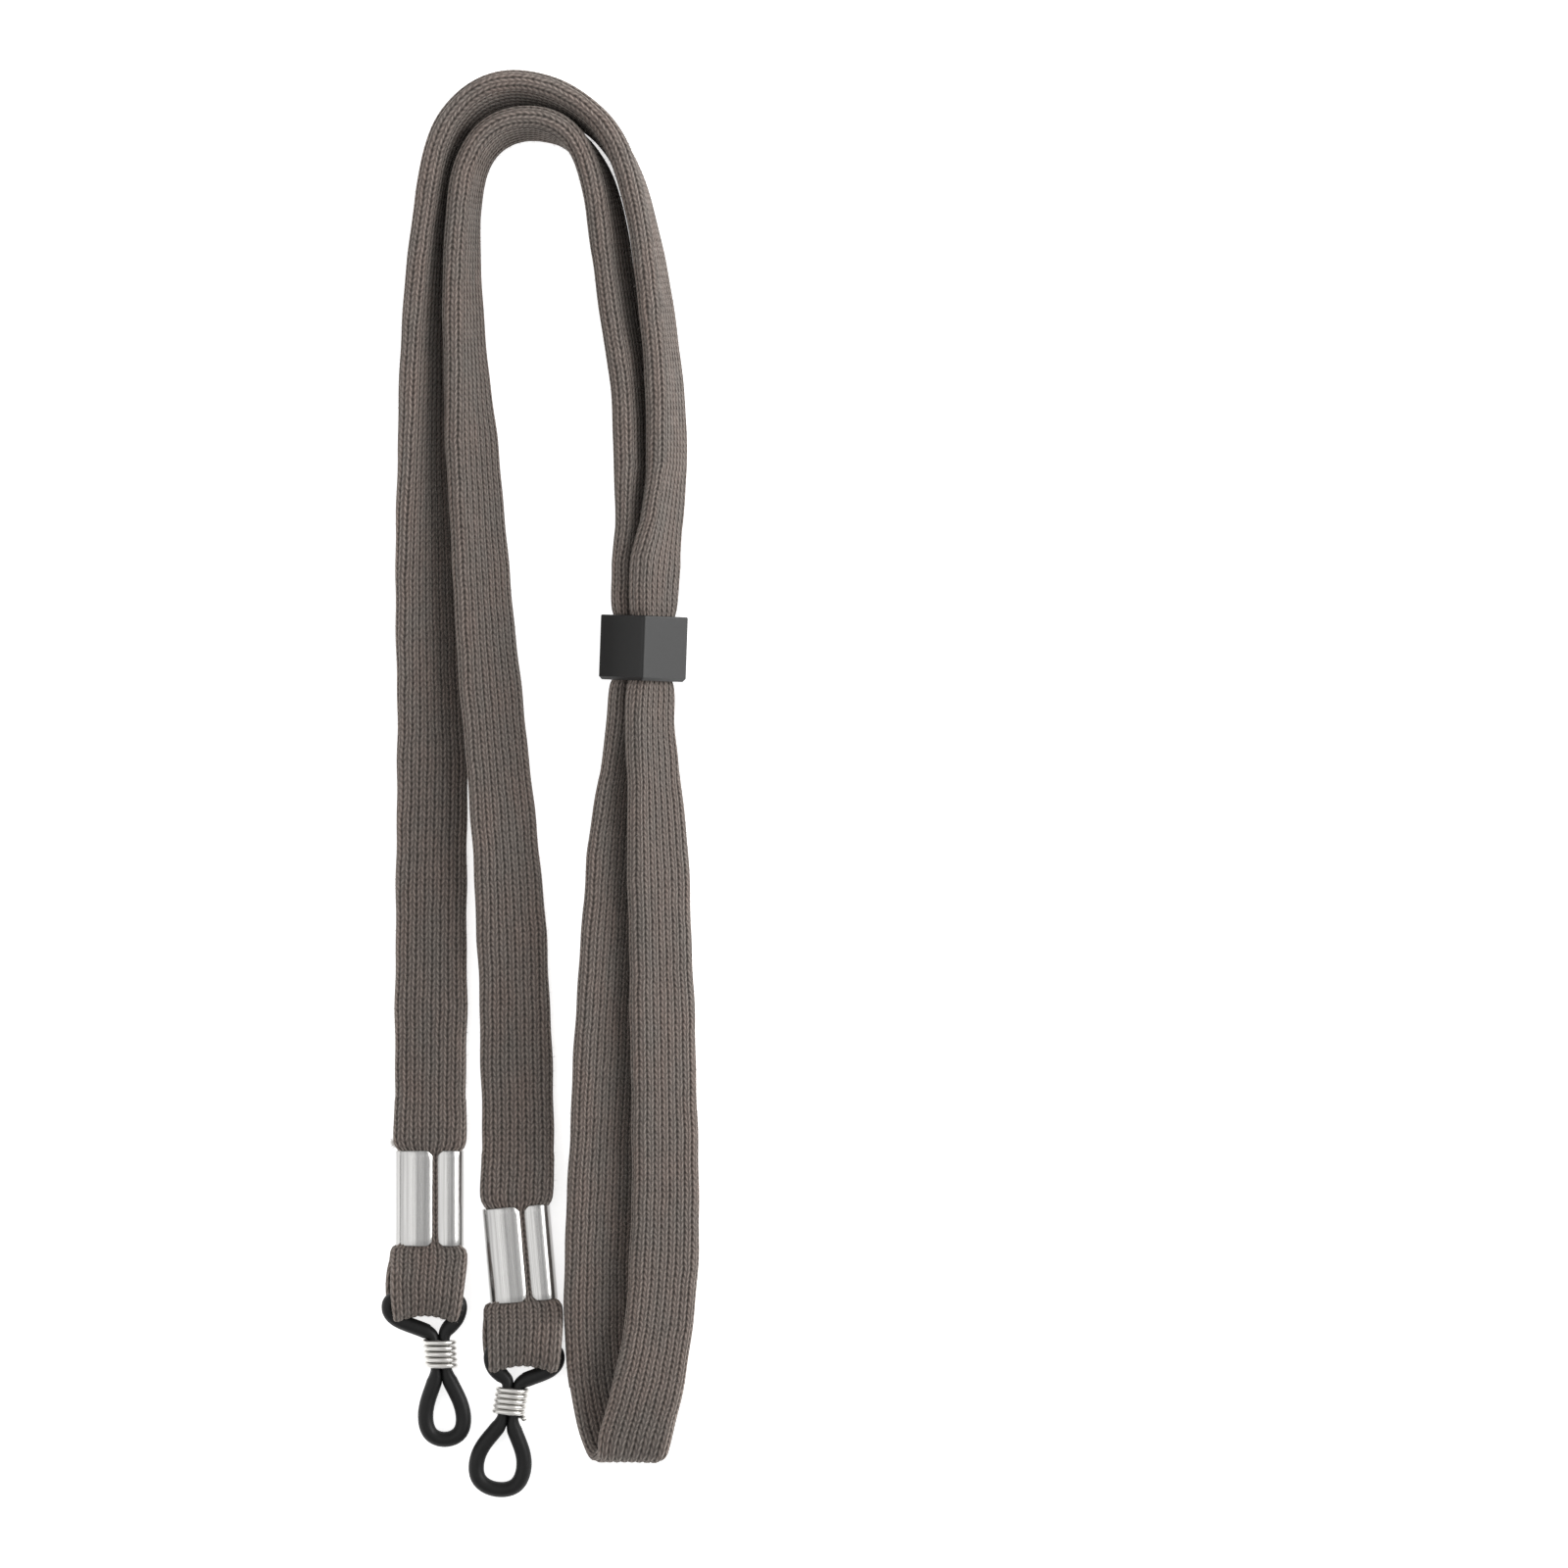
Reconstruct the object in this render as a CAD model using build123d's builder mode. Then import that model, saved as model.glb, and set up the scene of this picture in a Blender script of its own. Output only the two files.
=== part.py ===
"""Eyeglass retainer strap: one flat knitted strap, laid out on a table as it is sold.

Frame: +Z up from the table, +Y towards the closed end of the strap, origin under the
middle of the whole object's box.  Millimetres.

The strap is a single flat knitted tube.  Both its ends are folded back round a silicone
loop and crimped in a sheet-metal ferrule; a wire coil cinches each silicone loop to an eye
for the glasses' temple.  A square slider bead gathers the two halves of the strap.
"""
from build123d import *
import os
from math import ceil, cos, radians, sin, sqrt, tan

import numpy as np

os.makedirs("parts", exist_ok=True)

# ---------------------------------------------------------------- driving dimensions
STRAP_W, STRAP_T = 10.2, 2.4          # knitted strap lying flat
GATHER_W, GATHER_T = 7.0, 3.3         # one strap layer squeezed inside the slider
MOUTH_W, MOUTH_T = 8.9, 2.7           # and where it spreads again outside
FOLD_W, FOLD_T = 6.1, 1.5             # strap where it wraps round the silicone loop
CRIMP_W, CRIMP_T = 7.9, 1.65          # one strap layer inside the ferrule
LAYER_GAP = 0.2                       # between the two layers inside the slider

FERRULE_W, FERRULE_L, FERRULE_T, FERRULE_WALL = 9.6, 13.6, 4.4, 0.4
FERRULE_SEAM, FERRULE_NOTCH = 0.2, 0.9
SEAM_SHIFT = 0.8                      # the seam stands a little right of the middle

SLIDER_SIDE, SLIDER_L, SLIDER_HOLE = 9.0, 9.2, 7.3
SLIDER_CORNER, SLIDER_LIP = 0.5, 0.45

RUBBER_D = 2.2                        # silicone cord of the loops
NECK_W, NECK_T = 3.1, 2.3
NECK_TOP, NECK_END = -3.0, 3.2       # the neck's ends, from the middle of the coil
STRAND_SHIFT, STRAND_L = 0.4, 2.4     # where each strand runs on inside the neck
LOBE = ((0.74, 0.0), (1.0, 1.2), (0.91, 3.4))   # the hanger lobe's corners: share of its half width, drop
COIL_WIRE, COIL_L, COIL_GAP = 0.65, 4.1, 0.08

TABLE_GAP = 0.08                      # the lowest edges just clear the table
TOP_LEAN = 0.36                       # how far the near edge leans back along the arches

# where the pieces lie on the table
SLIDER_AT, SLIDER_TURN = Vector(14.5, 19.2, 6.2), 2.0
FERRULE_A, FERRULE_A_TURN = Vector(-15.8, -58.7, FERRULE_T / 2), 0.0
FERRULE_B, FERRULE_B_TURN = Vector(-3.0, -66.6, FERRULE_T / 2), 5.0
HINGE_A = Vector(-16.2, -72.85, 2.85)
HINGE_B = Vector(-2.5, -80.0, 2.85)
RING_TILT = 4.4                       # each silicone loop slopes down to the table

# ---------------------------------------------------------------- the strap's route
# x, y, z of the middle of the strap, lean of its width from upright (90 lies flat),
# then its width and thickness there.
FLAT, PINCH = (STRAP_W, STRAP_T), (GATHER_W, GATHER_T)
FOLD, CRIMP = (FOLD_W, FOLD_T), (CRIMP_W, CRIMP_T)
MOUTH = MOUTH_W, MOUTH_T
LAYER_SHIFT = (GATHER_T + LAYER_GAP) / 2 / sqrt(2)
FRONT, BACK = SLIDER_AT.Z + LAYER_SHIFT, SLIDER_AT.Z - LAYER_SHIFT


def on_table(lean):
    """Height, lean, width and thickness of the strap where its lower edge rests."""
    rise = (STRAP_W - STRAP_T) / 2 * cos(radians(lean)) + STRAP_T / 2 + TABLE_GAP
    return rise, lean, STRAP_W, STRAP_T


ROUTE = [
    # tail and fold of the left end
    (-15.8, -53.5, 1.3, 90, *CRIMP),
    (-15.8, -67.3, 1.25, 90, *CRIMP),
    (-16.1, -70.6, 0.84, 90, *FOLD),
    (-16.3, -74.95, 0.8, 90, *FOLD),
    (-16.3, -74.95, 4.95, 90, *FOLD),
    (-16.1, -70.6, 5.0, 90, *FOLD),
    (-15.8, -67.3, 3.1, 90, *CRIMP),
    (-15.85, -58.5, 3.08, 90, *CRIMP),
    (-15.8, -51.5, 3.1, 90, *CRIMP),
    # outer leg, turning from flat to upright
    (-15.7, -47.5, 2.6, 90, *FLAT),
    (-15.7, -41.0, 1.5, 90, *FLAT),
    (-15.6, -28.0, *on_table(86)),
    (-15.7, -12.0, *on_table(71)),
    (-15.7, 3.0, *on_table(58)),
    (-16.2, 15.5, *on_table(47)),
    (-16.5, 28.0, *on_table(39)),
    (-17.0, 50.0, *on_table(25)),
    (-16.6, 69.0, *on_table(18)),
    (-15.5, 82.0, *on_table(13)),
    # outer arch
    (-13.8, 90.8, *on_table(10)),
    (-9.8, 96.7, *on_table(10)),
    (-4.4, 98.9, *on_table(10)),
    (1.4, 98.1, *on_table(10)),
    (6.4, 95.4, *on_table(10)),
    (10.1, 91.4, *on_table(10)),
    (12.7, 86.0, *on_table(11)),
    (14.7, 78.2, *on_table(13)),
    # down the right side to the slider
    (16.3, 68.0, *on_table(17)),
    (17.6, 56.0, *on_table(19)),
    (17.9, 44.5, *on_table(22)),
    (17.1, 36.8, 5.9, 31, *MOUTH),
    (16.15, 31.3, FRONT, 44, *PINCH),
    (15.33, 7.7, FRONT, 45, *PINCH),
    (16.0, 1.0, 6.3, 48, *MOUTH),
    (16.5, -9.0, 4.6, 52, *FLAT),
    (17.0, -26.0, *on_table(56)),
    (17.4, -43.0, *on_table(60)),
    (17.7, -60.0, *on_table(66)),
    (17.1, -74.0, 4.0, 68, *FLAT),
    (15.7, -83.0, 5.0, 71, *FLAT),
    (14.2, -89.4, 5.9, 80, *FLAT),
    # the fold at the bottom
    (12.7, -94.85, 6.5, 88, *FLAT),
    (11.9, -94.85, 1.6, 88, *FLAT),
    # back up behind the first layer
    (9.6, -88.6, 2.0, 82, *FLAT),
    (8.4, -81.5, *on_table(73)),
    (8.0, -72.5, *on_table(66)),
    (8.3, -60.0, *on_table(62)),
    (8.9, -43.0, *on_table(57)),
    (9.7, -26.0, *on_table(53)),
    (10.9, -9.0, 3.75, 52, *FLAT),
    (11.8, 1.0, 4.2, 48, *MOUTH),
    (12.83, 7.7, BACK, 45, *PINCH),
    (13.65, 31.3, BACK, 44, *PINCH),
    (13.4, 36.8, 5.0, 31, *MOUTH),
    (13.2, 44.5, *on_table(21)),
    (12.9, 56.0, *on_table(18)),
    (11.1, 67.0, *on_table(15)),
    (9.8, 76.0, *on_table(13)),
    (8.3, 85.6, *on_table(11)),
    # inner arch
    (4.7, 92.3, *on_table(10)),
    (-1.0, 94.3, *on_table(10)),
    (-6.7, 92.9, *on_table(10)),
    (-10.1, 87.7, *on_table(10)),
    (-11.1, 80.5, *on_table(12)),
    # inner leg, turning from upright to flat
    (-11.2, 70.0, *on_table(15)),
    (-10.6, 60.0, *on_table(21)),
    (-9.8, 49.5, *on_table(32)),
    (-8.7, 36.0, *on_table(39)),
    (-7.6, 20.0, *on_table(45)),
    (-6.3, 6.0, *on_table(52)),
    (-4.9, -10.0, *on_table(60)),
    (-3.9, -26.0, *on_table(74)),
    (-3.5, -40.0, *on_table(88)),
    (-3.25, -49.0, 1.5, 90, *FLAT),
    (-3.35, -55.5, 2.6, 90, *FLAT),
    # fold and tail of the right end
    (-3.6, -59.4, 3.1, 90, *CRIMP),
    (-3.05, -66.4, 3.08, 90, *CRIMP),
    (-2.25, -75.1, 3.1, 90, *CRIMP),
    (-2.25, -77.8, 5.0, 90, *FOLD),
    (-2.45, -82.0, 4.95, 90, *FOLD),
    (-2.45, -82.0, 0.8, 90, *FOLD),
    (-2.25, -77.8, 0.84, 90, *FOLD),
    (-2.25, -75.1, 1.25, 90, *CRIMP),
    (-3.45, -61.3, 1.3, 90, *CRIMP),
]
RADIUS_SHARE = 0.45                   # of the shorter run beside a corner
SECTION_STEP = 20                     # degrees of bend between two sections of the loft

points = [Vector(*row[:3]) for row in ROUTE]
runs = [b - a for a, b in zip(points, points[1:])]
turns = [a.get_angle(b) for a, b in zip(runs, runs[1:])]
radii = [
    RADIUS_SHARE * min(a.length, b.length) / tan(radians(turn) / 2)
    for a, b, turn in zip(runs, runs[1:], turns)
]
print("radii of the route's turns:", [round(radius, 1) for radius in radii])

with BuildLine() as strap_path:
    FilletPolyline(*points, radius=radii)
path = strap_path.wire()
pieces = path.order_edges()
print("strap length", round(path.length, 1), "along", len(pieces), "runs and arcs")


def stations():
    """Distances along the path where the strap gets a section, and where its points lie."""
    along, sections, marks = 0.0, [0.0], [0.0]
    for index, piece in enumerate(pieces):
        spans = 1
        if index % 2:
            spans = ceil(turns[index // 2] / SECTION_STEP)
            marks.append(along + piece.length / 2)
        sections += [along + piece.length * (i + 1) / spans for i in range(spans)]
        along += piece.length
    return sections, marks + [along]


def section_plane(share, lean):
    """The plane across the strap, its X along the strap's width."""
    tangent = path.tangent_at(share)
    width = Vector(-sin(radians(lean)), TOP_LEAN * cos(radians(lean)), cos(radians(lean)))
    width -= tangent * width.dot(tangent)
    return Plane(path.position_at(share), x_dir=width.normalized(), z_dir=tangent)


# ---------------------------------------------------------------- knitted strap
section_at, point_at = stations()
leans, widths, thicks = ([row[column] for row in ROUTE] for column in (3, 4, 5))
with BuildPart() as knit_strap:
    for distance in section_at:
        lean, width, thick = (np.interp(distance, point_at, v) for v in (leans, widths, thicks))
        with BuildSketch(section_plane(distance / path.length, lean)):
            SlotOverall(width, thick)
    loft(ruled=True)
knit_strap.part.label = "knit_strap"
export_step(knit_strap.part, "parts/knit_strap.step")


# ---------------------------------------------------------------- crimped ferrules
def ferrule_frame(centre, turn):
    """The ferrule's own plane: X across, Y along the strap, Z up through its flat back."""
    return Plane(centre, x_dir=Vector(1, 0, 0).rotate(Axis.Z, turn), z_dir=(0, 0, 1))


for name, centre, turn in (
    ("ferrule_left", FERRULE_A, FERRULE_A_TURN),
    ("ferrule_right", FERRULE_B, FERRULE_B_TURN),
):
    frame = ferrule_frame(centre, turn)
    ends = Plane(frame.from_local_coords((0, -FERRULE_L / 2, 0)), frame.x_dir, frame.y_dir)
    with BuildPart() as ferrule:
        with BuildSketch(ends):
            RectangleRounded(FERRULE_W, FERRULE_T, FERRULE_T * 0.42)
            offset(amount=-FERRULE_WALL, mode=Mode.SUBTRACT)
        extrude(amount=FERRULE_L)
        with BuildSketch(frame):
            with Locations((SEAM_SHIFT, 0)):
                Rectangle(FERRULE_SEAM, FERRULE_L)
            for end in (-1, 1):
                with BuildLine():
                    Polyline(
                        (SEAM_SHIFT - FERRULE_NOTCH, end * FERRULE_L / 2),
                        (SEAM_SHIFT, end * (FERRULE_L / 2 - 1.6 * FERRULE_NOTCH)),
                        (SEAM_SHIFT + FERRULE_NOTCH, end * FERRULE_L / 2),
                        close=True,
                    )
                make_face()
        extrude(amount=FERRULE_T, mode=Mode.SUBTRACT)
    ferrule.part.label = name
    export_step(ferrule.part, f"parts/{name}.step")


# ---------------------------------------------------------------- silicone loops and coils
def ring_plane(hinge):
    """The loop's own plane: X along the hinge, Y from the hinge towards the eye."""
    down = Vector(0, -cos(radians(RING_TILT)), -sin(radians(RING_TILT)))
    return Plane(hinge, x_dir=(1, 0, 0), z_dir=Vector(1, 0, 0).cross(down))


def neck_frame(ring, neck, tilt):
    """The neck's own plane: X across the two strands, Y along them towards the eye."""
    across = ring.x_dir * cos(radians(tilt)) - ring.y_dir * sin(radians(tilt))
    return Plane(ring.from_local_coords((*neck, 0)), x_dir=across, z_dir=ring.z_dir)


for side, hinge, lobe_half, neck, tilt, eye_half, eye_end in (
    ("left", HINGE_A, 5.3, (1.9, 8.3), 3.7, 2.55, 11.9),
    ("right", HINGE_B, 4.8, (-2.0, 8.15), -9.0, 3.2, 12.05),
):
    ring = ring_plane(hinge)
    frame = neck_frame(ring, neck, tilt)
    place, at = ring.from_local_coords, frame.from_local_coords
    with BuildPart() as loop:
        with BuildSketch(Plane(at((0, NECK_TOP, 0)), x_dir=frame.x_dir, z_dir=frame.y_dir)):
            SlotOverall(NECK_W, NECK_T)
        extrude(amount=NECK_END - NECK_TOP)
        for s in (-1, 1):
            hanger = [
                place((0, 0, 0)),
                *(place((s * lobe_half * share, drop, 0)) for share, drop in LOBE),
                at((s * STRAND_SHIFT, NECK_TOP, 0)),
                at((s * STRAND_SHIFT, NECK_TOP + STRAND_L, 0)),
            ]
            eye = [
                at((s * STRAND_SHIFT, NECK_END - STRAND_L, 0)),
                at((s * STRAND_SHIFT, NECK_END, 0)),
                at((s * eye_half, NECK_END + 3.8, 0)),
                at((s * eye_half, eye_end - eye_half * 0.35, 0)),
                at((s * eye_half * 0.55, eye_end, 0)),
                at((0, eye_end, 0)),
            ]
            for outline in (hanger, eye):
                legs = [b - a for a, b in zip(outline, outline[1:])]
                bends = [
                    RADIUS_SHARE * min(a.length, b.length) / tan(radians(a.get_angle(b)) / 2)
                    for a, b in zip(legs, legs[1:])
                ]
                with BuildLine() as branch:
                    FilletPolyline(*outline, radius=bends)
                with BuildSketch(Plane(outline[0], z_dir=legs[0])):
                    Circle(RUBBER_D / 2)
                sweep(path=branch.wire())
    loop.part.label = f"silicone_loop_{side}"
    export_step(loop.part, f"parts/silicone_loop_{side}.step")

    hole = (NECK_W + 2 * COIL_GAP, NECK_T + 2 * COIL_GAP)
    with BuildPart() as coil:
        with BuildSketch(Plane(at((0, -COIL_L / 2, 0)), x_dir=frame.x_dir, z_dir=frame.y_dir)):
            SlotOverall(hole[0] + 2 * COIL_WIRE, hole[1] + 2 * COIL_WIRE)
            SlotOverall(*hole, mode=Mode.SUBTRACT)
        extrude(amount=COIL_L)
    coil.part.label = f"cinch_coil_{side}"
    export_step(coil.part, f"parts/cinch_coil_{side}.step")

# ---------------------------------------------------------------- slider bead
slide_axis = Vector(0, 1, 0).rotate(Axis.Z, -SLIDER_TURN)
corner_up = Vector(cos(radians(45)), 0, sin(radians(45))).rotate(Axis.Z, -SLIDER_TURN)
with BuildPart() as slider_bead:
    with BuildSketch(Plane(SLIDER_AT - slide_axis * (SLIDER_L / 2), corner_up, slide_axis)):
        RectangleRounded(SLIDER_SIDE, SLIDER_SIDE, SLIDER_CORNER)
        RectangleRounded(SLIDER_HOLE, SLIDER_HOLE, SLIDER_CORNER, mode=Mode.SUBTRACT)
    extrude(amount=SLIDER_L)
    end_faces = faces().sort_by(Axis(SLIDER_AT, slide_axis))
    chamfer(end_faces[0].outer_wire().edges(), SLIDER_LIP)
    fillet(end_faces[-1].outer_wire().edges(), SLIDER_LIP / 2)
slider_bead.part.label = "slider_bead"
export_step(slider_bead.part, "parts/slider_bead.step")
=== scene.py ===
import math

import bpy
import numpy as np
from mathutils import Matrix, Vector


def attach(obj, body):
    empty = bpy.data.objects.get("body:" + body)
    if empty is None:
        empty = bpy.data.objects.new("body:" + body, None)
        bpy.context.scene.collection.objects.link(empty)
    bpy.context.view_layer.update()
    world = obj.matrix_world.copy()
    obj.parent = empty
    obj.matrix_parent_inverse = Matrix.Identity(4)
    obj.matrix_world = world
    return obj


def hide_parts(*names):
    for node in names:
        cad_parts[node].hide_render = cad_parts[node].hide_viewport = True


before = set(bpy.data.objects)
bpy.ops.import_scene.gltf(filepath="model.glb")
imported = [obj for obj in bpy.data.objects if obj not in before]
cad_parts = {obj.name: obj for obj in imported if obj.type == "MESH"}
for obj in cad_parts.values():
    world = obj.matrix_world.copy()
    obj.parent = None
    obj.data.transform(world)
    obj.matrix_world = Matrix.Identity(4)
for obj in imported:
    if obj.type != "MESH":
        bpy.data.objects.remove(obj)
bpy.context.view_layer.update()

MM = 0.001


# ------------------------------------------------------------ small tools
def srgb(code):
    """Linear colour of an sRGB hex value."""
    parts = [int(code[i:i + 2], 16) / 255 for i in (1, 3, 5)]
    return (*(p / 12.92 if p <= 0.04045 else ((p + 0.055) / 1.055) ** 2.4 for p in parts), 1.0)


def node(tree, kind, inputs=None, **settings):
    """A new node of that kind, with its settings. Each input is a constant, an output socket to link from,
    or a node, whose first output is linked."""
    made = tree.nodes.new(kind)
    for key, value in settings.items():
        setattr(made, key, value)
    for key, value in (inputs or {}).items():
        if isinstance(value, bpy.types.Node):
            value = value.outputs[0]
        if isinstance(value, bpy.types.NodeSocket):
            tree.links.new(value, made.inputs[key])
        else:
            made.inputs[key].default_value = value
    return made


def unit(v):
    """Each row of v, brought to length one."""
    return v / np.linalg.norm(v, axis=-1, keepdims=True)


def surface(name, grid, uv, round_about=True, endless=False):
    """A mesh from grid, rows of points by stations along. round_about joins each row's last point to its first.
    endless joins the last row to the first, and otherwise each end is closed by one face.
    uv = (around, along), the value of the map at each row's points and at each row, one more than the faces have."""
    rows, around = grid.shape[:2]
    last_row = rows if endless else rows - 1
    last = around if round_about else around - 1
    i, j = np.meshgrid(np.arange(last_row), np.arange(last), indexing="ij")
    i_next, j_next = (i + 1) % rows, (j + 1) % around
    quads = np.stack([i * around + j, i * around + j_next, i_next * around + j_next, i_next * around + j], -1)
    quads = quads.reshape(-1, 4)
    faces = quads.tolist()
    if round_about and not endless:
        faces += [list(range(around - 1, -1, -1)), list(range((rows - 1) * around, rows * around))]
    mesh = bpy.data.meshes.new(name)
    mesh.from_pydata(grid.reshape(-1, 3), [], faces)
    u, v = uv
    corners = np.stack([
        np.stack([u[j], v[i]], -1), np.stack([u[j + 1], v[i]], -1),
        np.stack([u[j + 1], v[i + 1]], -1), np.stack([u[j], v[i + 1]], -1)], -2).reshape(-1, 2)
    values = np.zeros((len(mesh.loops), 2))
    values[:len(corners)] = corners
    mesh.uv_layers.new(name="Along").data.foreach_set("uv", values.ravel())
    mesh.shade_smooth()
    made = bpy.data.objects.new(name, mesh)
    bpy.context.scene.collection.objects.link(made)
    return made


def tube(name, path, half_across, half_deep, reference, around=20, endless=False):
    """An oval tube: at each point of path, path + half_across*cos(a)*across + half_deep*sin(a)*deep,
    where deep is the reference direction square to the path and across is square to both."""
    if endless:
        ahead = unit(np.roll(path, -1, 0) - np.roll(path, 1, 0))
    else:
        ahead = unit(np.gradient(path, axis=0))
    reference = np.broadcast_to(reference, path.shape)
    deep = unit(reference - (reference * ahead).sum(1)[:, None] * ahead)
    across = np.cross(deep, ahead)
    a = np.linspace(0, 2 * np.pi, around, endpoint=False)
    half_across = np.broadcast_to(half_across, len(path))[:, None, None]
    half_deep = np.broadcast_to(half_deep, len(path))[:, None, None]
    grid = path[:, None] + half_across * np.cos(a)[:, None] * across[:, None] \
        + half_deep * np.sin(a)[:, None] * deep[:, None]
    step = np.linalg.norm(np.diff(path, axis=0), axis=1)
    along = np.append(0, np.cumsum(step))
    along = np.append(along, along[-1] + step[-1]) / MM
    return surface(name, grid, (np.linspace(0, 1, around + 1), along), endless=endless)


def spline(points, count, endless=False):
    """count points of the uniform cubic B-spline that points pull, closed on itself when endless."""
    p = np.array(points, float)
    p = np.concatenate([p[-1:], p, p[:2]]) if endless else \
        np.concatenate([2 * p[:1] - p[1:2], p, 2 * p[-1:] - p[-2:-1]])
    spans = len(p) - 3
    t = np.linspace(0, spans, count, endpoint=not endless)
    i = np.minimum(t.astype(int), spans - 1)
    f = (t - i)[:, None]
    return ((1 - f) ** 3 * p[i] + (3 * f ** 3 - 6 * f ** 2 + 4) * p[i + 1]
            + (-3 * f ** 3 + 3 * f ** 2 + 3 * f + 1) * p[i + 2] + f ** 3 * p[i + 3]) / 6


# ------------------------------------------------------------ camera
# Straight above the strap, far enough back that near and far layers keep one scale.
CAMERA_HEIGHT = 2.4
FRAME_WIDTH = 0.2224
camera_data = bpy.data.cameras.new("camera")
camera_data.sensor_width = 36
camera_data.lens = 36 * CAMERA_HEIGHT / FRAME_WIDTH
camera = bpy.data.objects.new("camera", camera_data)
camera.location = (0.0344, 0.0, CAMERA_HEIGHT)
bpy.context.scene.collection.objects.link(camera)
bpy.context.scene.camera = camera

# ------------------------------------------------------------ the strap's route
TOP_LEAN = (0.36, 0.22)      # how far the near edge leans back round the outer and the inner arch
# width and thickness of the strap in mm
FLAT = (10.2, 2.4)           # lying flat
GATHER = (8.9, 2.7)          # as it nears the slider
PINCH = (7.0, 3.3)           # one layer squeezed inside the slider
CRIMP = (7.9, 1.65)          # one layer inside a ferrule
FOLD = (6.6, 1.5)            # round the silicone
FRONT, BACK = 7.437, 4.963   # heights of the two layers inside the slider
TABLE_GAP = 0.08             # the lowest edges just clear the table


def on_table(lean):
    """Middle height, lean and section of the flat strap resting on its lower edge at that lean from upright."""
    wide, thick = FLAT
    height = (wide - thick) / 2 * math.cos(math.radians(lean)) + thick / 2 + TABLE_GAP
    return (height, lean, *FLAT)


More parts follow.
